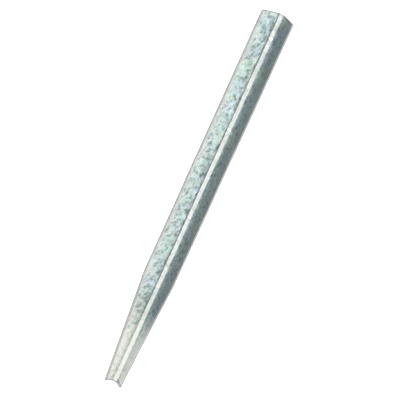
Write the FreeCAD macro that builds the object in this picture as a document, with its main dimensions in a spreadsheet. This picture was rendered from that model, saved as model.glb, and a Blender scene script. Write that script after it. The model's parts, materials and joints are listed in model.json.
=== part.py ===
"""Post anchor spike: one strip of galvanised sheet steel, folded into an open trough.

Frame, in millimetres: +Z runs up the spike from its driving tip at Z = 0 to its square head.
X runs across the trough, which is symmetric about X = 0. The trough opens towards -Y, and the
origin lies under the middle of the section's own box.

A flat web runs up the back of the trough, and a leg rises from each of its two fold lines. Near
the tip both legs are sheared to a straight taper, at right angles to the sheet, while the web
keeps its width. Fastener holes are punched through the middle of the web.
"""

import FreeCAD, Part
import Sketcher
import math
import os

NODE = "anchor_spike"

DRIVING_SIZES = [
    ("overall_length", 610.0),
    ("sheet_thickness", 2.75),
    ("web_width", 7.0),  # between the two inner corners, as if the folds were sharp
    ("leg_length", 30.0),  # on the inner face, from that corner to the free edge
    ("fold_angle", 50.0),  # how far each leg is folded up out of the web's plane
    ("bend_radius", 2.0),  # inside each fold
    ("taper_length", 188.0),  # from the tip to where the legs reach their full length
    ("tip_leg_length", 13.0),  # what is left of each leg at the tip
    ("hole_diameter", 5.5),
    ("hole_from_head", 38.0),  # from the head's end to the middle of the first hole
    ("hole_pitch", 143.5),
    ("hole_count", 3),
    ("head_corner_radius", 4.0),  # at the top corner of each leg's free edge
    ("edge_radius", 0.35),  # the zinc leaves every sheared edge a little round
]

# Two faces that turn by more than this at their common edge meet at a sheared edge.
SHARP_EDGE_DEGREES = 45.0
# Lengths closer than this, in millimetres, are taken as equal.
CLOSE_ENOUGH = 0.001
# The taper's cutter reaches this many leg lengths from the fold, well past the free edge,
# and is this many sheets deep, half of that to each side of the leg's inner face.
CUTTER_REACH = 1.5
CUTTER_DEPTH = 4

# Expressions on the sheet that more than one size is worked out from.
FOLD = "(Sizes.fold_angle * 1 deg)"
CORNER_SETBACK = f"(Sizes.bend_radius * tan({FOLD} / 2))"
ROUNDED_OFF = f"(Sizes.edge_radius * (sin({FOLD}) + cos({FOLD}) - 1))"
SECTION_DEPTH = f"(Sizes.sheet_thickness + Sizes.leg_length * sin({FOLD}) - {ROUNDED_OFF})"
WEB_INNER_Y = f"({SECTION_DEPTH} / 2 - Sizes.sheet_thickness)"

# Sketcher's names for a curve's own points, and for the sketch's own axes and origin.
START, END, CENTRE = 1, 2, 3
HORIZONTAL_AXIS = -1
VERTICAL_AXIS = -2
SKETCH_ORIGIN = (HORIZONTAL_AXIS, START)


def add_sizes(doc):
    """The spreadsheet of driving sizes, one named cell for each."""
    sheet = doc.addObject("Spreadsheet::Sheet", "Sizes")
    for row, (alias, value) in enumerate(DRIVING_SIZES, start=1):
        sheet.set(f"A{row}", alias)
        sheet.set(f"B{row}", str(value))
        sheet.setAlias(f"B{row}", alias)
    doc.recompute()
    return sheet


def origin_feature(body, role):
    """One of the body's own origin planes or axes."""
    return next(f for f in body.Origin.OriginFeatures if f.Role == role)


def add_sketch(body, name, plane_role):
    sketch = body.newObject("Sketcher::SketchObject", name)
    sketch.AttachmentSupport = (origin_feature(body, plane_role), [""])
    sketch.MapMode = "FlatFace"
    return sketch


def add_dimension(sketch, name, expression, *constraint):
    """A sketch dimension that the sheet drives."""
    index = sketch.addConstraint(Sketcher.Constraint(*constraint))
    sketch.renameConstraint(index, name)
    sketch.setExpression(f"Constraints.{name}", expression)


def join(sketch, kind, *points):
    sketch.addConstraint(Sketcher.Constraint(kind, *points))


def add_section(body, sizes):
    """The folded sheet's outline: two concentric bends and two parallel faces each side."""
    sketch = add_sketch(body, "TroughSection", "XY_Plane")
    fold = math.radians(sizes.fold_angle)
    setback = sizes.bend_radius * math.tan(fold / 2)
    half_flat = sizes.web_width / 2 - setback
    leg_flat = sizes.leg_length - setback
    # Only where the drawing starts: the dimension of this name moves the section into place.
    web_inner_y = sizes.leg_length / 2

    def bend_point(side, radius, turn):
        """A point on a bend, turned from the web towards its leg."""
        x = half_flat + radius * math.sin(turn)
        y = web_inner_y - sizes.bend_radius + radius * math.cos(turn)
        return FreeCAD.Vector(side * x, y, 0)

    def leg_end(side, radius):
        along = FreeCAD.Vector(side * math.cos(fold), -math.sin(fold), 0)
        return bend_point(side, radius, fold) + along * leg_flat

    def add_face(radius):
        """One face of the sheet, leg to leg. Returns its web and its (bend, leg) on each side."""
        web = sketch.addGeometry(
            Part.LineSegment(bend_point(-1, radius, 0), bend_point(1, radius, 0))
        )
        join(sketch, "Symmetric", web, START, web, END, VERTICAL_AXIS)
        sides = {}
        for side in (-1, 1):
            turns = [bend_point(side, radius, fold * share) for share in (0, 0.5, 1)]
            bend = sketch.addGeometry(Part.Arc(*turns))
            leg = sketch.addGeometry(Part.LineSegment(turns[-1], leg_end(side, radius)))
            # Arcs run anticlockwise, so the left bend starts at the web and the right at its leg.
            at_web, at_leg = (START, END) if side < 0 else (END, START)
            join(sketch, "Tangent", web, START if side < 0 else END, bend, at_web)
            join(sketch, "Tangent", bend, at_leg, leg, START)
            sides[side] = (bend, leg)
        return web, sides

    inner_radius = sizes.bend_radius
    outer_radius = inner_radius + sizes.sheet_thickness
    inner_web, inner = add_face(inner_radius)
    outer_web, outer = add_face(outer_radius)
    for side, name in ((-1, "left"), (1, "right")):
        (inner_bend, inner_leg), (outer_bend, outer_leg) = inner[side], outer[side]
        free_edge = sketch.addGeometry(
            Part.LineSegment(leg_end(side, inner_radius), leg_end(side, outer_radius))
        )
        join(sketch, "Coincident", inner_bend, CENTRE, outer_bend, CENTRE)
        join(sketch, "Coincident", inner_leg, END, free_edge, START)
        join(sketch, "Coincident", outer_leg, END, free_edge, END)
        join(sketch, "Perpendicular", inner_leg, free_edge)
        add_dimension(
            sketch, f"{name}_bend_radius", "Sizes.bend_radius", "Radius", inner_bend, inner_radius
        )
        add_dimension(sketch, f"{name}_fold_angle", FOLD, "Angle", inner_bend, fold)
        add_dimension(
            sketch,
            f"{name}_leg_flat",
            f"Sizes.leg_length - {CORNER_SETBACK}",
            "Distance",
            inner_leg,
            leg_flat,
        )
    add_dimension(
        sketch,
        "web_flat",
        f"Sizes.web_width - 2 * {CORNER_SETBACK}",
        "Distance",
        inner_web,
        2 * half_flat,
    )
    add_dimension(
        sketch,
        "sheet_thickness",
        "Sizes.sheet_thickness",
        "DistanceY",
        inner_web,
        END,
        outer_web,
        END,
        sizes.sheet_thickness,
    )
    add_dimension(
        sketch, "web_inner_y", WEB_INNER_Y, "DistanceY", *SKETCH_ORIGIN, inner_web, END, web_inner_y
    )
    return sketch


def add_trough(body, section):
    pad = body.newObject("PartDesign::Pad", "FoldedTrough")
    pad.Profile = section
    pad.setExpression("Length", "Sizes.overall_length")
    return pad


def add_taper_sketch(body, sizes):
    """What is sheared off the right leg, drawn on its inner face from the fold's corner."""
    sketch = add_sketch(body, "TaperOutline", "XZ_Plane")
    # The plane's own Y runs up the spike, and its own Z points to the trough's open side.
    turn = FreeCAD.Rotation(FreeCAD.Vector(0, -1, 0), sizes.fold_angle)
    corner = FreeCAD.Vector(sizes.web_width / 2, 0, 0)
    sketch.AttachmentOffset = FreeCAD.Placement(corner, turn)
    sketch.setExpression("AttachmentOffset.Base.x", "Sizes.web_width / 2")
    sketch.setExpression("AttachmentOffset.Base.z", f"-{WEB_INNER_Y}")
    sketch.setExpression("AttachmentOffset.Rotation.Angle", FOLD)

    tip = FreeCAD.Vector(sizes.tip_leg_length, 0, 0)
    shoulder = FreeCAD.Vector(sizes.leg_length, sizes.taper_length, 0)
    outside = CUTTER_REACH * sizes.leg_length
    corners = [
        tip,
        shoulder,
        FreeCAD.Vector(outside, sizes.taper_length, 0),
        FreeCAD.Vector(outside, 0, 0),
    ]
    lines = [
        sketch.addGeometry(Part.LineSegment(corner, following))
        for corner, following in zip(corners, corners[1:] + corners[:1])
    ]
    for line, following in zip(lines, lines[1:] + lines[:1]):
        join(sketch, "Coincident", line, END, following, START)
    shear, top, far_side, bottom = lines
    join(sketch, "Horizontal", top)
    join(sketch, "Vertical", far_side)
    join(sketch, "Horizontal", bottom)
    for name, expression, kind, line, end, value in (
        ("tip_leg_length", "Sizes.tip_leg_length", "DistanceX", shear, START, tip.x),
        ("leg_length", "Sizes.leg_length", "DistanceX", shear, END, shoulder.x),
        ("taper_length", "Sizes.taper_length", "DistanceY", shear, END, shoulder.y),
        ("outside", f"{CUTTER_REACH} * Sizes.leg_length", "DistanceX", far_side, END, outside),
    ):
        add_dimension(sketch, name, expression, kind, *SKETCH_ORIGIN, line, end, value)
    join(sketch, "PointOnObject", shear, START, HORIZONTAL_AXIS)
    return sketch


def add_taper(body, outline):
    """Shears the right leg through its thickness only, and then the left one like it."""
    shear = body.newObject("PartDesign::Pocket", "RightTaper")
    shear.Profile = outline
    shear.SideType = "Symmetric"
    shear.setExpression("Length", f"{CUTTER_DEPTH} * Sizes.sheet_thickness")
    mirror = body.newObject("PartDesign::Mirrored", "LeftTaper")
    mirror.Originals = [shear]
    mirror.MirrorPlane = (origin_feature(body, "YZ_Plane"), [""])
    body.Tip = mirror
    return shear, mirror


def add_hole_sketch(body, sizes):
    sketch = add_sketch(body, "HoleOutline", "XZ_Plane")
    height = sizes.overall_length - sizes.hole_from_head
    radius = sizes.hole_diameter / 2
    circle = sketch.addGeometry(
        Part.Circle(FreeCAD.Vector(0, height, 0), FreeCAD.Vector(0, 0, 1), radius)
    )
    join(sketch, "PointOnObject", circle, CENTRE, VERTICAL_AXIS)
    add_dimension(
        sketch, "hole_diameter", "Sizes.hole_diameter", "Diameter", circle, 2 * radius
    )
    add_dimension(
        sketch,
        "hole_height",
        "Sizes.overall_length - Sizes.hole_from_head",
        "DistanceY",
        *SKETCH_ORIGIN,
        circle,
        CENTRE,
        height,
    )
    return sketch


def add_holes(body, outline):
    """Punches the top hole through the web, and repeats it down the spike."""
    punch = body.newObject("PartDesign::Pocket", "TopHole")
    punch.Profile = outline
    punch.Type = "ThroughAll"
    punch.SideType = "Symmetric"
    row = body.newObject("PartDesign::LinearPattern", "HoleRow")
    row.Originals = [punch]
    row.Direction = (origin_feature(body, "Z_Axis"), [""])
    row.Reversed = True
    row.setExpression("Occurrences", "Sizes.hole_count")
    row.setExpression("Length", "Sizes.hole_pitch * (Sizes.hole_count - 1)")
    body.Tip = row
    return punch, row


def is_head_corner(edge, sizes):
    """True for an edge through the sheet's thickness where a leg's free edge meets the head."""
    ends = [vertex.Point for vertex in edge.Vertexes]
    at_head = all(abs(end.z - sizes.overall_length) < CLOSE_ENOUGH for end in ends)
    if len(ends) != 2 or not at_head:
        return False
    through = ends[1] - ends[0]
    across = abs(through.x) / through.Length - math.sin(math.radians(sizes.fold_angle))
    straight = abs(edge.Length - sizes.sheet_thickness) < CLOSE_ENOUGH
    return straight and abs(across) < CLOSE_ENOUGH


def add_head_corners(body, base, sizes):
    names = [
        f"Edge{number}"
        for number, edge in enumerate(base.Shape.Edges, start=1)
        if is_head_corner(edge, sizes)
    ]
    corners = body.newObject("PartDesign::Fillet", "HeadCorners")
    corners.Base = (base, names)
    corners.setExpression("Radius", "Sizes.head_corner_radius")
    body.Tip = corners
    return corners


def is_sheared(shape, edge):
    """True where the two faces at an edge meet at a corner, and not smoothly as at a bend."""
    middle = edge.valueAt((edge.FirstParameter + edge.LastParameter) / 2)
    normals = [
        face.normalAt(*face.Surface.parameter(middle))
        for face in shape.ancestorsOfType(edge, Part.Face)
    ]
    if len(normals) != 2:
        return False
    return normals[0].getAngle(normals[1]) > math.radians(SHARP_EDGE_DEGREES)


def add_rounded_edges(body, base):
    names = [
        f"Edge{number}"
        for number, edge in enumerate(base.Shape.Edges, start=1)
        if is_sheared(base.Shape, edge)
    ]
    rounding = body.newObject("PartDesign::Fillet", "RoundedEdges")
    rounding.Base = (base, names)
    rounding.setExpression("Radius", "Sizes.edge_radius")
    body.Tip = rounding
    return rounding


def check(doc, body, volumes):
    """Stops if a feature failed, or if one that cuts took nothing away."""
    for item in doc.Objects:
        failed = {"Invalid", "Error"} & set(item.State)
        if failed:
            raise RuntimeError(f"{item.Name} is {failed}: {item.getStatusString()}")
    shape = body.Shape
    if shape.isNull() or not shape.isValid() or len(shape.Solids) != 1:
        raise RuntimeError(f"{body.Label} isn't one valid solid")
    for (before, larger), (after, smaller) in zip(volumes, volumes[1:]):
        print(f"{after}: {smaller:.1f} mm3, {larger - smaller:.1f} less than {before}")
        if smaller >= larger:
            raise RuntimeError(f"{after} cut nothing")


def build():
    doc = FreeCAD.newDocument("PostAnchorSpike")
    sizes = add_sizes(doc)
    body = doc.addObject("PartDesign::Body", "AnchorSpike")
    body.Label = NODE

    trough = add_trough(body, add_section(body, sizes))
    doc.recompute()
    shear, tapered = add_taper(body, add_taper_sketch(body, sizes))
    doc.recompute()
    punch, punched = add_holes(body, add_hole_sketch(body, sizes))
    doc.recompute()
    cornered = add_head_corners(body, punched, sizes)
    doc.recompute()
    rounded = add_rounded_edges(body, cornered)
    body.Placement = FreeCAD.Placement()
    doc.recompute()

    steps = (trough, shear, tapered, punch, punched, cornered, rounded)
    check(doc, body, [(step.Name, step.Shape.Volume) for step in steps])
    return body


def main():
    body = build()
    os.makedirs("parts", exist_ok=True)
    body.Shape.exportStep(f"parts/{body.Label}.step")
    box = body.Shape.optimalBoundingBox(False)
    print(f"{body.Label}: {box.XLength:.2f} x {box.YLength:.2f} x {box.ZLength:.2f} mm")
    print(f"box from {box.XMin:.3f}, {box.YMin:.3f}, {box.ZMin:.3f}")


main()
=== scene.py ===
"""Studio view of a post anchor spike folded from galvanised sheet steel.

The spike is made here as it is in a press shop. A flat blank is laid out with its sheared edges and
punched holes, and is then folded along two lines. A place on the blank is (across, up, depth):
across from the middle of the web, up from the driving tip, and depth from the trough's inner face.
"""

import json
import math

import bmesh
import bpy
from mathutils import Matrix, Vector


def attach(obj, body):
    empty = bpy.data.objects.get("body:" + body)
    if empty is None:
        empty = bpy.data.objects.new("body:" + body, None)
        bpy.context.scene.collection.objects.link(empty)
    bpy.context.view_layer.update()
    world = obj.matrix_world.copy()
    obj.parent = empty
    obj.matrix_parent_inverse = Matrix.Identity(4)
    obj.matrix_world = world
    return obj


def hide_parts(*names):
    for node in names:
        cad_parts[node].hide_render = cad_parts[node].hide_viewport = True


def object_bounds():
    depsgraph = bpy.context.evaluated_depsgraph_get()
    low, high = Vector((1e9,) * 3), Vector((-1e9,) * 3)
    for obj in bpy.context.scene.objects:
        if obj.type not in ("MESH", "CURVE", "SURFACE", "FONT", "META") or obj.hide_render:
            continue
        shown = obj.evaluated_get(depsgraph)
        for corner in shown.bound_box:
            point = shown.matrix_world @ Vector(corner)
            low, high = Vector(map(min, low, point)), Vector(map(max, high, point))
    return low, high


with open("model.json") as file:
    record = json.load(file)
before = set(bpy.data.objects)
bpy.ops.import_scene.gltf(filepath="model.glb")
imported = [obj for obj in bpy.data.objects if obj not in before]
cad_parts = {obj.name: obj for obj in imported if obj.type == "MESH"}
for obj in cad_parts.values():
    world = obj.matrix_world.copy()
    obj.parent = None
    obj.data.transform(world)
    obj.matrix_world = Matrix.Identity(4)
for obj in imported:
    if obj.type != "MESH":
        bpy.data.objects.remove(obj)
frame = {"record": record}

CAD_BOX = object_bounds()

MM = 0.001
NODE = "anchor_spike"

# The folded sheet, as the CAD model has it.
SHEET = 2.75 * MM
WEB_WIDTH = 7.0 * MM
LEG_LENGTH = 30.0 * MM
FOLD = math.radians(50)
BEND_RADIUS = 2.0 * MM
TAPER_LENGTH = 188.0 * MM
TIP_LEG_LENGTH = 13.0 * MM
HEAD_CORNER = 4.0 * MM
TIP_CORNER = 0.9 * MM

# The camera stands at the photograph's viewing angle. It looks at the middle of the web, and is
# then slid a little sideways and upwards.
CAMERA_AZIMUTH = math.radians(8.937)
CAMERA_ELEVATION = math.radians(19.859)
CAMERA_ROLL = math.radians(24.537)
CAMERA_DISTANCE = 2.547573
CAMERA_SLIDE = (0.007659, 0.007988)
CAMERA_LENS_MM = 161.25
CAMERA_SENSOR_MM = 36
CAMERA_CLIP = (0.05, 60)


def mount(name):
    return next(m for m in frame["record"]["mounts"] if m["name"] == name)


LENGTH = CAD_BOX[1].z
WEB_BACK_Y = mount("web_back")["pos_m"][1]
WEB_INNER_Y = WEB_BACK_Y - SHEET
SETBACK = BEND_RADIUS * math.tan(FOLD / 2)
HALF_FLAT = WEB_WIDTH / 2 - SETBACK
NEUTRAL_RADIUS = BEND_RADIUS + SHEET / 2
BEND_END = HALF_FLAT + NEUTRAL_RADIUS * FOLD

# A sheared edge: rounded where the blade or punch went in, then a smooth wall, then a torn one that
# stands back by a small step, and nearly sharp where the tool came out.
ROLL_WIDTH = 0.5 * MM
ROLL_DEPTH = 0.4 * MM
WALL_START = 0.4 * SHEET
WALL_END = 0.62 * SHEET
BREAK_STEP = 0.07 * MM
BURR_RADIUS = 0.18 * MM
ARC_STEPS = 4

# The sheet isn't quite flat. Each wave: the height in metres in which it turns by a radian, where
# it starts and how much further on it is for each metre across, in radians, and its swing in mm.
LONG_WAVE = (0.026, 1.1, 30, 0.09)
SHORT_WAVE = (0.0115, 0.4, -55, 0.03)
LEFT_LEG_WAVE = (0.041, 4.4, 0, 0.12)
RIGHT_LEG_WAVE = (0.041, 2.1, 0, 0.12)

# The blank's grid. A square of cells as wide as the web and its bends is left open round each hole,
# and is filled by rings that crowd together towards the hole.
WEB_CELLS = 8
BEND_CELLS = 6
LEG_CELLS = 12
SQUARE_CELLS = WEB_CELLS + 2 * BEND_CELLS
HOLE_RINGS = 6
RING_CROWDING = 1.6
ROW_STEP = 2.5 * MM
FACE_DEPTHS = (0.0, SHEET)
# Decimals of a metre to which the holes' heights are rounded.
HEIGHT_DIGITS = 6
# How far the largest faces decide the direction of the shading, from 1 to 100.
FLAT_FACE_WEIGHT = 100


def leg_at(up):
    """How far a leg's free edge stands from the fold's sharp corner, at a height."""
    share = min(up / TAPER_LENGTH, 1)
    return TIP_LEG_LENGTH + (LEG_LENGTH - TIP_LEG_LENGTH) * share


def corner_cut(rise, radius):
    """What a corner of this radius takes off the edge, at a height this far inside the end."""
    short = max(radius - rise, 0)
    return radius - math.sqrt(max(radius**2 - short**2, 0))


def edge_at(up):
    """The blank's half width where its two faces end, just inside the sheared edge."""
    up = min(max(up, ROLL_WIDTH), LENGTH - ROLL_WIDTH)
    half = BEND_END + leg_at(up) - SETBACK - ROLL_WIDTH
    half -= corner_cut(up - ROLL_WIDTH, TIP_CORNER - ROLL_WIDTH)
    return half - corner_cut(LENGTH - ROLL_WIDTH - up, HEAD_CORNER - ROLL_WIDTH)


def hole_heights():
    """Heights of the holes. They are rounded, so that the one both mounts share counts once."""
    heights = set()
    for name in ("upper_fixing_holes", "lower_fixing_holes"):
        pattern = mount(name)
        reach = pattern["dims"]["spacing_y_mm"] * MM / 2
        middle = pattern["pos_m"][2]
        heights |= {round(middle + side * reach, HEIGHT_DIGITS) for side in (-1, 1)}
    return sorted(heights)


HOLE_RADIUS = mount("upper_fixing_holes")["dims"]["hole_r_mm"] * MM
HOLES = hole_heights()


def spread(start, end, cells):
    return [start + (end - start) * k / cells for k in range(cells + 1)]


def row_heights():
    """Heights of the blank's rows: close together round the corners and beside the holes."""
    quarter = spread(0, math.pi / 2, ARC_STEPS + 2)
    tip = TIP_CORNER - ROLL_WIDTH
    head = HEAD_CORNER - ROLL_WIDTH
    rows = [ROLL_WIDTH + tip * (1 - math.cos(turn)) for turn in quarter]
    stops = [(TAPER_LENGTH, None)]
    stops += [(height - BEND_END, height + BEND_END) for height in HOLES]
    stops.append((LENGTH - HEAD_CORNER, None))
    for start, end in stops:
        cells = math.ceil((start - rows[-1]) / ROW_STEP)
        rows += spread(rows[-1], start, cells)[1:]
        if end is not None:
            rows += spread(start, end, SQUARE_CELLS)[1:]
    rows += [LENGTH - HEAD_CORNER + head * math.sin(turn) for turn in quarter[1:]]
    return rows


def row_places(up):
    """Places across one row, from the left free edge to the right one."""
    half = spread(0, HALF_FLAT, WEB_CELLS // 2)
    half += spread(HALF_FLAT, BEND_END, BEND_CELLS)[1:]
    half += spread(BEND_END, edge_at(up), LEG_CELLS)[1:]
    return [-across for across in reversed(half[1:])] + half


def sheared_profile():
    """Over a sheared edge, between the inner face and the outer: (outward, depth, how bare)."""
    quarter = spread(0, math.pi / 2, ARC_STEPS)[1:]
    edge_band = [
        (ROLL_WIDTH * math.sin(turn), ROLL_DEPTH * (1 - math.cos(turn)), math.sin(turn))
        for turn in quarter
    ]
    torn = ROLL_WIDTH - BREAK_STEP
    wall = [(ROLL_WIDTH, WALL_START, 1), (torn, WALL_END, 1)]
    burr = [
        (
            torn - BURR_RADIUS * (1 - math.sin(turn)),
            SHEET - BURR_RADIUS * (1 - math.cos(turn)),
            math.sin(turn),
        )
        for turn in reversed(quarter)
    ]
    return edge_band + wall + burr


def wave(across, up, rise, start, skew, swing):
    return math.sin(up / rise + start + across * skew) * swing


def sway(across, up):
    """How far a place on a leg stands off to the sheet's outer side."""
    leg_wave = RIGHT_LEG_WAVE if across > 0 else LEFT_LEG_WAVE
    swing = sum(wave(across, up, *numbers) for numbers in (LONG_WAVE, SHORT_WAVE, leg_wave))
    on_leg = max(abs(across) - BEND_END, 0) / LEG_LENGTH
    return MM * on_leg * swing


def folded(across, up, depth):
    """Where a place on the flat blank lies once the blank is folded."""
    side = math.copysign(1, across)
    depth = depth + sway(across, up)
    beyond = abs(across) - HALF_FLAT
    turn = min(max(beyond / NEUTRAL_RADIUS, 0), FOLD)
    radius = BEND_RADIUS + depth
    x = min(abs(across), HALF_FLAT) + radius * math.sin(turn)
    y = WEB_INNER_Y - BEND_RADIUS + radius * math.cos(turn)
    past = max(abs(across) - BEND_END, 0)
    return Vector((side * (x + past * math.cos(FOLD)), y - past * math.sin(FOLD), up))


class Spike:
    """Collects the folded blank's vertices and faces."""

    def __init__(self):
        self.points = []
        self.places = []
        self.bare = []
        self.margin = []
        self.faces = []

    def add(self, across, up, depth, bare=0.0):
        self.points.append(folded(across, up, depth))
        # Where the pattern is read shifts outwards with depth, so that the two faces differ.
        self.places.append((across + math.copysign(depth, across), up, depth))
        self.bare.append(bare)
        self.margin.append(max(edge_at(up) - abs(across), 0))
        return len(self.points) - 1

    def add_strip(self, before, after):
        """Quads between two closed rings of vertices."""
        count = len(before)
        for k in range(count):
            n = (k + 1) % count
            self.faces.append((before[k], before[n], after[n], after[k]))

    def add_face(self, grid, low_rows, depth):
        """One face of the blank, with a square left open round each hole."""
        open_cells = {cell for low_row in low_rows for cell in square_places(low_row, 0)}
        left_out = {place for low_row in low_rows for place in square_places(low_row, 1)}
        rows = range(len(grid))
        columns = range(len(grid[0]))
        face = {
            (j, i): self.add(*grid[j][i], depth)
            for j in rows
            for i in columns
            if (j, i) not in left_out
        }
        for j in rows[:-1]:
            for i in columns[:-1]:
                if (j, i) not in open_cells:
                    corners = ((j, i), (j, i + 1), (j + 1, i + 1), (j + 1, i))
                    self.faces.append(tuple(face[corner] for corner in corners))
        return face

    def add_edge(self, loop, inner, outer):
        """The sheared edge along a closed loop on the blank, which lies on the loop's left."""
        count = len(loop)
        outward = []
        for k in range(count):
            before, after = loop[k - 1], loop[(k + 1) % count]
            along = Vector((after[0] - before[0], after[1] - before[1])).normalized()
            outward.append((along.y, -along.x))
        previous = inner
        for reach, depth, bare in sheared_profile():
            ring = [
                self.add(across + out_across * reach, up + out_up * reach, depth, bare)
                for (across, up), (out_across, out_up) in zip(loop, outward)
            ]
            self.add_strip(previous, ring)
            previous = ring
        self.add_strip(previous, outer)

    def add_hole(self, grid, faces, low_row, height):
        """Rings of cells from the open square in to a punched hole, and the hole's sheared wall."""
        square = loop_round(low_row, LEG_CELLS, SQUARE_CELLS, SQUARE_CELLS)
        rims = []
        for depth, face in zip(FACE_DEPTHS, faces):
            ring = [face[place] for place in square]
            for k in range(1, HOLE_RINGS + 1):
                share = 1 - (1 - k / HOLE_RINGS) ** RING_CROWDING
                circle = []
                for j, i in square:
                    across, up = grid[j][i][0], grid[j][i][1] - height
                    shrink = (HOLE_RADIUS + ROLL_WIDTH) / math.hypot(across, up)
                    scale = 1 + (shrink - 1) * share
                    circle.append((across * scale, height + up * scale))
                following = [self.add(*place, depth) for place in circle]
                self.add_strip(ring, following)
                ring = following
            rims.append(ring)
        self.add_edge(circle[::-1], *(ring[::-1] for ring in rims))


def square_places(low_row, first):
    """The cells of the open square above a row, or with first = 1 the grid's points inside it."""
    steps = range(first, SQUARE_CELLS)
    return [(low_row + j, LEG_CELLS + i) for j in steps for i in steps]


def loop_round(low_row, low_column, rows, columns):
    """Grid places round a block of cells, anticlockwise from its lower left corner."""
    loop = [(low_row, low_column + i) for i in range(columns)]
    loop += [(low_row + j, low_column + columns) for j in range(rows)]
    loop += [(low_row + rows, low_column + columns - i) for i in range(columns)]
    return loop + [(low_row + rows - j, low_column) for j in range(rows)]


def nearest_row(rows, height):
    return min(range(len(rows)), key=lambda j: abs(rows[j] - height))


def build_spike():
    spike = Spike()
    rows = row_heights()
    grid = [[(across, up) for across in row_places(up)] for up in rows]
    low_rows = [nearest_row(rows, height - BEND_END) for height in HOLES]
    faces = [spike.add_face(grid, low_rows, depth) for depth in FACE_DEPTHS]
    outline = loop_round(0, 0, len(grid) - 1, len(grid[0]) - 1)
    edge = [grid[j][i] for j, i in outline]
    spike.add_edge(edge, *([face[place] for place in outline] for face in faces))
    for low_row, height in zip(low_rows, HOLES):
        spike.add_hole(grid, faces, low_row, height)
    return spike


def add_spike():
    spike = build_spike()
    mesh = bpy.data.meshes.new("spike")
    mesh.from_pydata(spike.points, [], spike.faces)
    sheet = mesh.attributes.new("sheet", "FLOAT_VECTOR", "POINT")
    sheet.data.foreach_set("vector", [value for place in spike.places for value in place])
    for name in ("bare", "margin"):
        values = mesh.attributes.new(name, "FLOAT", "POINT")
        values.data.foreach_set("value", getattr(spike, name))
    mesh.validate()
    piece = bpy.data.objects.new("folded_spike", mesh)
    bpy.context.scene.collection.objects.link(piece)

    shape = bmesh.new()
    shape.from_mesh(mesh)
    bmesh.ops.recalc_face_normals(shape, faces=shape.faces)
    shape.to_mesh(mesh)
    shape.free()
    mesh.shade_smooth()
    normals = piece.modifiers.new("flat_faces_stay_flat", "WEIGHTED_NORMAL")
    normals.mode = "FACE_AREA"
    normals.weight = FLAT_FACE_WEIGHT
    normals.keep_sharp = False
    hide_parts(NODE)
    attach(piece, "root")
    return piece


def add_camera():
    middle = (CAD_BOX[0].z + CAD_BOX[1].z) / 2
    aim = Vector((0, WEB_INNER_Y, middle))
    back = Vector((
        math.sin(CAMERA_AZIMUTH) * math.cos(CAMERA_ELEVATION),
        -math.cos(CAMERA_AZIMUTH) * math.cos(CAMERA_ELEVATION),
        math.sin(CAMERA_ELEVATION),
    ))
    level = Vector((0, 0, 1)).cross(back).normalized()
    upright = back.cross(level)
    right = level * math.cos(CAMERA_ROLL) + upright * math.sin(CAMERA_ROLL)
    up = upright * math.cos(CAMERA_ROLL) - level * math.sin(CAMERA_ROLL)
    data = bpy.data.cameras.new("camera")
    data.lens = CAMERA_LENS_MM
    data.sensor_width = CAMERA_SENSOR_MM
    data.clip_start, data.clip_end = CAMERA_CLIP
    camera = bpy.data.objects.new("camera", data)
    bpy.context.scene.collection.objects.link(camera)
    rotation = Matrix((right, up, back)).transposed()
    place = aim + back * CAMERA_DISTANCE + right * CAMERA_SLIDE[0] + up * CAMERA_SLIDE[1]
    camera.matrix_world = Matrix.Translation(place) @ rotation.to_4x4()
    bpy.context.scene.camera = camera


class Nodes:
    """Adds and joins shader nodes."""

    def __init__(self, tree):
        self.tree = tree

    def add(self, kind, inputs=(), **settings):
        node = self.tree.nodes.new("ShaderNode" + kind)
        for name, value in settings.items():
            setattr(node, name, value)
        for key, value in dict(inputs).items():
            if isinstance(value, bpy.types.NodeSocket):
                self.tree.links.new(value, node.inputs[key])
            else:
                node.inputs[key].default_value = value
        return node

    def maths(self, operation, first, second=0.0):
        return self.add("Math", {0: first, 1: second}, operation=operation).outputs[0]

    def times(self, first, second):
        return self.maths("MULTIPLY", first, second)

    def vectors(self, operation, inputs):
        return self.add("VectorMath", inputs, operation=operation).outputs[0]

    def mix(self, factor, first, second, **settings):
        inputs = {"Factor": factor, 6: first, 7: second}
        return self.add("Mix", inputs, data_type="RGBA", **settings).outputs[2]

    def mix_numbers(self, factor, first, second):
        inputs = {"Factor": factor, 2: first, 3: second}
        return self.add("Mix", inputs, data_type="FLOAT").outputs[0]

    def tint(self, region, colour, shade):
        """The colour multiplied by a shade, as much as a region says."""
        return self.mix(region, colour, shade, blend_type="MULTIPLY")

    def noise(self, vector, size, detail, roughness, distortion, seed):
        """Noise whose blotches are about this size. A seed gives another pattern."""
        settings = {"W": seed, "Scale": 1 / size, "Detail": detail, "Roughness": roughness}
        inputs = {"Vector": vector, "Distortion": distortion, **settings}
        return self.add("TexNoise", inputs, noise_dimensions="4D").outputs["Fac"]

    def ramp(self, factor, positions, colours):
        """A colour ramp that has these colours at these positions."""
        node = self.add("ValToRGB", {"Fac": factor})
        elements = node.color_ramp.elements
        while len(elements) < len(positions):
            elements.new(1.0)
        for element, position, colour in zip(elements, positions, colours):
            element.position = position
            element.color = (*colour, 1)
        return node.outputs["Color"]

    def span(self, value, low, high, to_low=0.0, to_high=1.0, smooth=False):
        """Takes low to to_low and high to to_high, and stays at those beyond."""
        inputs = {"Value": value, "From Min": low, "From Max": high}
        inputs.update({"To Min": to_low, "To Max": to_high})
        kind = "SMOOTHSTEP" if smooth else "LINEAR"
        return self.add("MapRange", inputs, interpolation_type=kind).outputs["Result"]

    def lowered(self, region, low):
        """1 outside a region, and this low inside it."""
        return self.span(region, 0, 1, 1, low)
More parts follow.
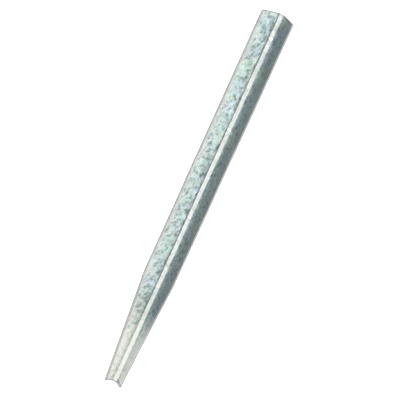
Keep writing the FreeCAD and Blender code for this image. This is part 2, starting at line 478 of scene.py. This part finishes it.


# Metal colours. The tip's two are painted light, whiter than the zinc; the bare steel colour is
# also painted shade beside the left free edge.
DARK_ZINC = (0.365, 0.435, 0.415)
ZINC = (0.82, 0.81, 0.77)
PALE_ZINC = (0.96, 0.97, 0.92)
LIT_TIP_ZINC = (0.99, 1.0, 0.955)
LIT_DARK_TIP_ZINC = (0.62, 0.67, 0.62)
BARE_STEEL_AND_EDGE_SHADE = (0.6, 0.59, 0.575, 1)
END_DARK = (0.34, 0.33, 0.35, 1)

# Tints that multiply them. Four casts come and go over the whole sheet. The others are the painted
# highlight along the free edges, a painted warmer light cast on the left leg's inner face, painted
# shade on the right leg's inner face, on the web's and on the web's towards the tip, and painted
# shade along the folds.
WHITE = (1.0, 1.0, 1.0)
TEAL = (0.93, 1.0, 0.965)
LILAC = (1.0, 0.95, 0.99)
SKY = (0.955, 0.985, 1.0)
CREAM = (1.0, 0.99, 0.93)
EDGE_HIGHLIGHT_TINT = (1.0, 0.965, 0.98, 1)
LEFT_LEG_PAINTED_CAST = (1.0, 0.985, 0.93, 1)
GREENER_PAINTED_SHADE = (0.615, 0.785, 0.85)
BLUER_PAINTED_SHADE = (0.61, 0.75, 0.95)
WEB_PAINTED_SHADE = (0.535, 0.565, 0.575, 1)
WEB_TIP_PAINTED_SHADE = (0.84, 0.85, 0.83, 1)
FOLD_PAINTED_SHADE = (0.83, 0.84, 0.82, 1)

# Noises over the sheet: size of the blotches, detail, roughness, distortion and seed.
BLOTCHES = (8.0 * MM, 2, 0.5, 0.5, 0.0)
FLECKS = (4.6 * MM, 1, 0.5, 0.2, 3.7)
GRAINS = (2.8 * MM, 0, 0.5, 0.0, 40.2)
CLOUDS = (36.0 * MM, 2, 0.5, 0.0, 9.4)
STREAKS = (3.6 * MM, 1, 0.5, 0.0, 5.3)
SPOTS = (6.0 * MM, 1, 0.5, 0.6, 21.3)
SWIRLS = (12.0 * MM, 1, 0.5, 1.0, 30.1)
TEAL_TO_LILAC = (14.0 * MM, 2, 0.6, 0.8, 12.9)
SKY_TO_CREAM = (14.0 * MM, 2, 0.6, 0.8, 17.2)
GREENER_TO_BLUER = (24.0 * MM, 2, 0.6, 0.5, 61.7)
FOLD_SHADE_PATCHES = (20.0 * MM, 2, 0.5, 0.3, 50.2)

# The pattern is dark below 0 and pale above it. This is how strongly each noise counts in it, then
# the dark spots, the pale arcs and the darker band, and how much paler the free edges are, a
# painted highlight. The last pair is the pattern's values for DARK_ZINC and PALE_ZINC.
BLOTCH_WEIGHT = 3.1
FLECK_WEIGHT = 2.6
GRAIN_WEIGHT = 1.0
CLOUD_WEIGHT = 0.9
STREAK_WEIGHT = 0.8
SPOT_WEIGHT = 0.4
ARC_WEIGHT = 0.25
BAND_WEIGHT = 0.22
EDGE_PALER = 0.1
PATTERN_SPAN = (-0.8, 0.7)
# The slanted streaks: their direction on the sheet, and their width as a share of their length.
STREAK_SLANT = math.radians(-38)
STREAK_SQUEEZE = 0.2
# The noise's values where a dark spot begins and is full, and how near to 0.5 a pale arc lies.
SPOT_SPAN = (0.44, 0.24)
ARC_WIDTH = 0.05

# What is left of the pattern in its calmer regions.
TIP_CALM = 0.8
EDGE_HIGHLIGHT_CALM = 0.5
PRESSED_CALM = 0.3
RIGHT_CALM = 0.8

# How large a zinc crystal is, how far its face leans, and the noise that bends its outline: the
# noise's size and detail, and how far it moves the outline. Its colours lie about MID_GREY.
CRYSTAL = 5.0 * MM
CRYSTAL_TILT = 0.21
CRYSTAL_WARP_SIZE = 3.0 * MM
CRYSTAL_WARP_DETAIL = 2.0
CRYSTAL_WARP_REACH = 2.0 * MM
MID_GREY = (0.5, 0.5, 0.5)

# Where regions of the sheet begin and end. From a free edge inwards:
EDGE_STRIP = (3.0 * MM, 8.0 * MM)
LEFT_EDGE_SHADE_SPAN = (0.4 * MM, 2.0 * MM)
# From the web's middle outwards:
PRESSED_BAND = (3.0 * MM, 5.5 * MM)
FOLD_SHADE_BAND = (6.0 * MM, 12.0 * MM)
# From the head's end and from the tip's, and how much further the tip's reaches on the right leg:
HEAD_DARK_BAND = (0.5 * MM, 1.6 * MM)
TIP_DARK_BAND = (1.0 * MM, 4.0 * MM)
RIGHT_TIP_DARK_REACH = 4.0 * MM
# Heights: where the darker band at the start of the taper fades in and out, where the left edge's
# painted shade loses its extra width, and where the tip's painted light begins and is full.
BAND_LOW = (0.08, 0.11)
BAND_HIGH = (0.16, 0.19)
LEFT_EDGE_SHADE_FADE = (0.14, 0.19)
LEFT_EDGE_SHADE_EXTRA = 1.5 * MM
TIP_WHITE = (0.155, 0.055)

# How much of the tip's painted-light colour shows, and how strong the darkening at the two ends is.
TIP_COVER = 0.8
HEAD_DARK_COVER = 0.8
TIP_DARK_COVER = 0.7
# How much painted shade the folds have between the patches, and the noise's values there and in the
# patches.
FOLD_SHADE_LEAST = 0.4
FOLD_SHADE_SPAN = (0.35, 0.6)
# Positions on the colour ramps.
ZINC_STOPS = (0.0, 0.5, 1.0)
CAST_STOPS = (0.32, 0.5, 0.68)
RIGHT_STOPS = (0.38, 0.62)
TIP_STOPS = (0.1, 0.5)

# Roughness of dark and of pale zinc, at the pattern's two values in ROUGH_SPAN, then of bare steel
# and of the matt tip, and how metallic the tip is.
ROUGH_SPAN = (-0.6, 0.6)
DARK_ROUGH = 0.40
PALE_ROUGH = 0.28
BARE_ROUGH = 0.5
TIP_ROUGH = 0.45
TIP_METALLIC = 0.6

# Soft boxes that stand round the spike and reach below it: where each one's middle is, in degrees
# round from the camera's side (-Y) towards +X, how far to each side it is evenly lit and where it
# has faded out, in degrees too, and how strong it is.
SOFT_BOXES = {
    "front": (-14, 9, 17, 2.78),
    "gap": (28, 8, 20, 0.22),
    "left": (-100, 8, 32, 1.05),
    "right": (62, 4, 17, 1.35),
    "right_fill": (84, 12, 34, 0.6),
    "back": (180, 70, 110, 0.5),
}
# The even light from above, and how far up a direction points where it has taken over.
HIGH_LIGHT = (0.97, 1.0, 1.0, 1)
HIGH_FROM = 0.4
WHITE_LIGHT = (1.0, 1.0, 1.0, 1)

FLOOR_SIZE = 12.0
FLOOR_GLOW = 0.8
FLOOR_COLOUR = (0.94, 0.94, 0.94, 1)
FLOOR_ROUGH = 0.9


def soft_box(nodes, bearing, middle, even, faded, strength):
    """How brightly a soft box shines from a bearing. Both angles are measured round the spike."""
    turn = nodes.maths("SUBTRACT", bearing, math.radians(middle))
    away = nodes.maths("ARCCOSINE", nodes.maths("COSINE", turn))
    return nodes.span(away, math.radians(even), math.radians(faded), strength, 0, smooth=True)


def add_world():
    world = bpy.data.worlds.new("studio")
    bpy.context.scene.world = world
    world.use_nodes = True
    nodes = Nodes(world.node_tree)
    background = world.node_tree.nodes["Background"]
    direction = nodes.add("SeparateXYZ", {0: nodes.add("TexCoord").outputs["Generated"]})
    x, y, z = direction.outputs
    bearing = nodes.maths("ARCTAN2", x, nodes.times(y, -1.0))
    low_light = 0.0
    for box in SOFT_BOXES.values():
        low_light = nodes.maths("ADD", soft_box(nodes, bearing, *box), low_light)
    light = nodes.mix(nodes.span(z, 0.0, HIGH_FROM, smooth=True), low_light, HIGH_LIGHT)
    # The camera sees a plain white surround beyond the floor.
    seen = nodes.add("LightPath").outputs["Is Camera Ray"]
    light = nodes.mix(seen, light, WHITE_LIGHT)
    world.node_tree.links.new(light, background.inputs["Color"])


def add_floor():
    """A white floor, lit a little from within as a light table is."""
    half = FLOOR_SIZE / 2
    corners = [(-half, -half, 0), (half, -half, 0), (half, half, 0), (-half, half, 0)]
    mesh = bpy.data.meshes.new("floor")
    mesh.from_pydata(corners, [], [(0, 1, 2, 3)])
    floor = bpy.data.objects.new("floor", mesh)
    bpy.context.scene.collection.objects.link(floor)
    paint = bpy.data.materials.new("floor")
    paint.use_nodes = True
    shader = paint.node_tree.nodes["Principled BSDF"]
    shader.inputs["Base Color"].default_value = FLOOR_COLOUR
    shader.inputs["Roughness"].default_value = FLOOR_ROUGH
    shader.inputs["Emission Color"].default_value = WHITE_LIGHT
    shader.inputs["Emission Strength"].default_value = FLOOR_GLOW
    mesh.materials.append(paint)
    # Only the camera sees the floor, so that it doesn't hide the light that comes from below.
    floor.visible_glossy = False
    floor.visible_diffuse = False
    floor.visible_shadow = False


class Zinc(Nodes):
    """Zinc with a fine spangle: dark and pale blotches, and small crystals that lean a little."""

    def __init__(self, tree):
        super().__init__(tree)
        self.sheet = self.add("Attribute", attribute_name="sheet").outputs["Vector"]
        self.sheared = self.add("Attribute", attribute_name="bare").outputs["Fac"]
        self.margin = self.add("Attribute", attribute_name="margin").outputs["Fac"]
        self.across, self.up, depth = self.add("SeparateXYZ", {0: self.sheet}).outputs
        self.aside = self.maths("ABSOLUTE", self.across)

        # Regions of the sheet: each is 1 inside and fades to 0 outside.
        self.tip = self.span(self.up, *TIP_WHITE, smooth=True)
        # The strip along the free edges where a highlight is painted on: paler, pinker and calmer
        # zinc.
        self.edge_band = self.span(self.margin, *EDGE_STRIP, 1, 0, smooth=True)
        self.pressed = self.span(self.aside, *PRESSED_BAND, 1, 0, smooth=True)
        inside = self.span(depth, 0, SHEET, 1, 0)
        self.inner_right = self.times(self.span(self.across, HALF_FLAT, BEND_END), inside)
        self.inner_left = self.times(self.span(self.across, -HALF_FLAT, -BEND_END), inside)
        self.inner_web = self.times(self.pressed, inside)

        # How strong the pattern is: it is calm towards the tip, along the free edges under their
        # painted highlight, on the pressed web and, a little, on the right leg.
        lively = self.lowered(self.tip, TIP_CALM)
        lively = self.times(lively, self.lowered(self.edge_band, EDGE_HIGHLIGHT_CALM))
        lively = self.times(lively, self.lowered(self.pressed, PRESSED_CALM))
        right_calm = self.span(self.across, HALF_FLAT, BEND_END, 1, RIGHT_CALM)
        self.lively = self.times(lively, right_calm)

    def centred(self, noise):
        return self.maths("SUBTRACT", noise, 0.5)

    def pattern(self):
        """Light and dark over the sheet, about zero."""
        slant = {"Rotation": (0, 0, STREAK_SLANT), "Scale": (1, STREAK_SQUEEZE, 1)}
        slanted = self.add("Mapping", {"Vector": self.sheet, **slant}).outputs[0]
        pattern = 0.0
        for places, kind, weight in (
            (self.sheet, BLOTCHES, BLOTCH_WEIGHT),
            (self.sheet, FLECKS, FLECK_WEIGHT),
            (self.sheet, GRAINS, GRAIN_WEIGHT),
            (self.sheet, CLOUDS, CLOUD_WEIGHT),
            (slanted, STREAKS, STREAK_WEIGHT),
        ):
            part = self.times(self.centred(self.noise(places, *kind)), weight)
            pattern = self.maths("ADD", part, pattern)
        spots = self.span(self.noise(self.sheet, *SPOTS), *SPOT_SPAN, smooth=True)
        pattern = self.maths("SUBTRACT", pattern, self.times(spots, SPOT_WEIGHT))
        swirl = self.centred(self.noise(self.sheet, *SWIRLS))
        arcs = self.span(self.maths("ABSOLUTE", swirl), 0.0, ARC_WIDTH, 1, 0, smooth=True)
        pattern = self.maths("ADD", pattern, self.times(arcs, ARC_WEIGHT))
        # The zinc is darker where the taper begins.
        below_top = self.span(self.up, *BAND_HIGH, 1, 0, smooth=True)
        band = self.times(self.span(self.up, *BAND_LOW, smooth=True), below_top)
        pattern = self.maths("SUBTRACT", pattern, self.times(band, BAND_WEIGHT))
        return self.times(pattern, self.lively)

    def zinc_colour(self, pattern):
        """The zinc's colour with its painted shade, light and highlight, before the folds, bare
        steel and ends.
        """
        # The painted highlight along the free edges makes them paler.
        value = self.maths("ADD", pattern, self.times(self.edge_band, EDGE_PALER))
        value = self.span(value, *PATTERN_SPAN)
        colour = self.ramp(value, ZINC_STOPS, (DARK_ZINC, ZINC, PALE_ZINC))
        for kind, first, last in ((TEAL_TO_LILAC, TEAL, LILAC), (SKY_TO_CREAM, SKY, CREAM)):
            cast = self.times(self.centred(self.noise(self.sheet, *kind)), self.lively)
            cast = self.ramp(self.maths("ADD", 0.5, cast), CAST_STOPS, (first, WHITE, last))
            colour = self.tint(1.0, colour, cast)
        # The painted highlight along the free edges is pinker too.
        colour = self.tint(self.edge_band, colour, EDGE_HIGHLIGHT_TINT)
        # The right leg's inner face gets painted shade, greener or bluer in patches.
        hues = self.noise(self.sheet, *GREENER_TO_BLUER)
        shade = self.ramp(hues, RIGHT_STOPS, (GREENER_PAINTED_SHADE, BLUER_PAINTED_SHADE))
        colour = self.tint(self.inner_right, colour, shade)
        # A painted warmer light cast on the left leg's inner face.
        colour = self.tint(self.inner_left, colour, LEFT_LEG_PAINTED_CAST)
        # Painted shade on the web's inner face.
        colour = self.tint(self.inner_web, colour, WEB_PAINTED_SHADE)
        # The tip's whiter colour is painted light.
        lit_tip_colour = self.ramp(value, TIP_STOPS, (LIT_DARK_TIP_ZINC, LIT_TIP_ZINC))
        # More painted shade on the web's inner face towards the tip.
        lit_tip_colour = self.tint(self.inner_web, lit_tip_colour, WEB_TIP_PAINTED_SHADE)
        return self.mix(self.times(self.tip, TIP_COVER), colour, lit_tip_colour)

    def fold_shade(self):
        """Painted shade, in patches, darkens the zinc along the folds towards the tip."""
        noise = self.noise(self.sheet, *FOLD_SHADE_PATCHES)
        patches = self.span(noise, *FOLD_SHADE_SPAN, FOLD_SHADE_LEAST, 1)
        by_fold = self.span(self.aside, *FOLD_SHADE_BAND, 1, 0, smooth=True)
        by_fold = self.times(by_fold, self.lowered(self.pressed, 0))
        return self.times(self.times(by_fold, patches), self.tip)

    def bare(self):
        """Bare steel shows on the sheared edges. Beside the left free edge the same colour is
        painted shade, wider on the taper.
        """
        extra = self.span(self.up, *LEFT_EDGE_SHADE_FADE, LEFT_EDGE_SHADE_EXTRA, 0, smooth=True)
        from_rim = self.maths("SUBTRACT", self.margin, extra)
        # Painted shade beside the left free edge, wider towards the tip.
        left_edge_shade = self.span(from_rim, *LEFT_EDGE_SHADE_SPAN, 1, 0, smooth=True)
        left_edge_shade = self.times(left_edge_shade, self.maths("LESS_THAN", self.across, 0.0))
        return self.maths("MAXIMUM", self.sheared, left_edge_shade)

    def end_darkening(self):
        """The head's and the tip's ends are darker, on the cut and just beside it."""
        from_head = self.maths("SUBTRACT", LENGTH, self.up)
        head_dark = self.span(from_head, *HEAD_DARK_BAND, HEAD_DARK_COVER, 0, smooth=True)
        further = self.times(self.inner_right, RIGHT_TIP_DARK_REACH)
        from_tip = self.maths("SUBTRACT", self.up, further)
        tip_dark = self.span(from_tip, *TIP_DARK_BAND, TIP_DARK_COVER, 0, smooth=True)
        return self.maths("MAXIMUM", head_dark, tip_dark)

    def roughness(self, pattern, bare):
        rough = self.span(pattern, *ROUGH_SPAN, DARK_ROUGH, PALE_ROUGH)
        rough = self.mix_numbers(bare, rough, BARE_ROUGH)
        return self.mix_numbers(self.tip, rough, TIP_ROUGH)

    def warped_sheet(self):
        """The places on the sheet, each moved a little, so that the crystals' outlines bend."""
        size = {"Scale": 1 / CRYSTAL_WARP_SIZE, "Detail": CRYSTAL_WARP_DETAIL}
        swirl = self.add("TexNoise", {"Vector": self.sheet, **size}).outputs["Color"]
        centred = self.vectors("SUBTRACT", {0: swirl, 1: MID_GREY})
        moved = self.vectors("SCALE", {0: centred, "Scale": CRYSTAL_WARP_REACH})
        return self.vectors("ADD", {0: self.sheet, 1: moved})

    def crystal_normal(self):
        """Each crystal's face leans its own way."""
        crystals = self.add("TexVoronoi", {"Vector": self.warped_sheet(), "Scale": 1 / CRYSTAL})
        centred = self.vectors("SUBTRACT", {0: crystals.outputs["Color"], 1: MID_GREY})
        lean = self.times(self.lively, CRYSTAL_TILT)
        tilt = self.vectors("SCALE", {0: centred, "Scale": lean})
        facing = self.add("NewGeometry").outputs["Normal"]
        return self.vectors("NORMALIZE", {0: self.vectors("ADD", {0: facing, 1: tilt})})


def galvanised():
    material = bpy.data.materials.new("galvanised_steel")
    material.use_nodes = True
    shader = material.node_tree.nodes["Principled BSDF"]
    zinc = Zinc(material.node_tree)
    pattern = zinc.pattern()
    bare = zinc.bare()
    # Painted shade along the folds towards the tip.
    colour = zinc.tint(zinc.fold_shade(), zinc.zinc_colour(pattern), FOLD_PAINTED_SHADE)
    # Bare steel on the sheared edges; beside the left free edge it is painted shade.
    colour = zinc.mix(bare, colour, BARE_STEEL_AND_EDGE_SHADE)
    colour = zinc.mix(zinc.end_darkening(), colour, END_DARK)
    for name, value in (
        ("Base Color", colour),
        ("Roughness", zinc.roughness(pattern, bare)),
        ("Metallic", zinc.lowered(zinc.tip, TIP_METALLIC)),
        ("Normal", zinc.crystal_normal()),
    ):
        material.node_tree.links.new(value, shader.inputs[name])
    return material


scene = bpy.context.scene
scene.view_settings.view_transform = "Standard"
add_camera()
add_world()
add_floor()
piece = add_spike()
piece.data.materials.append(galvanised())
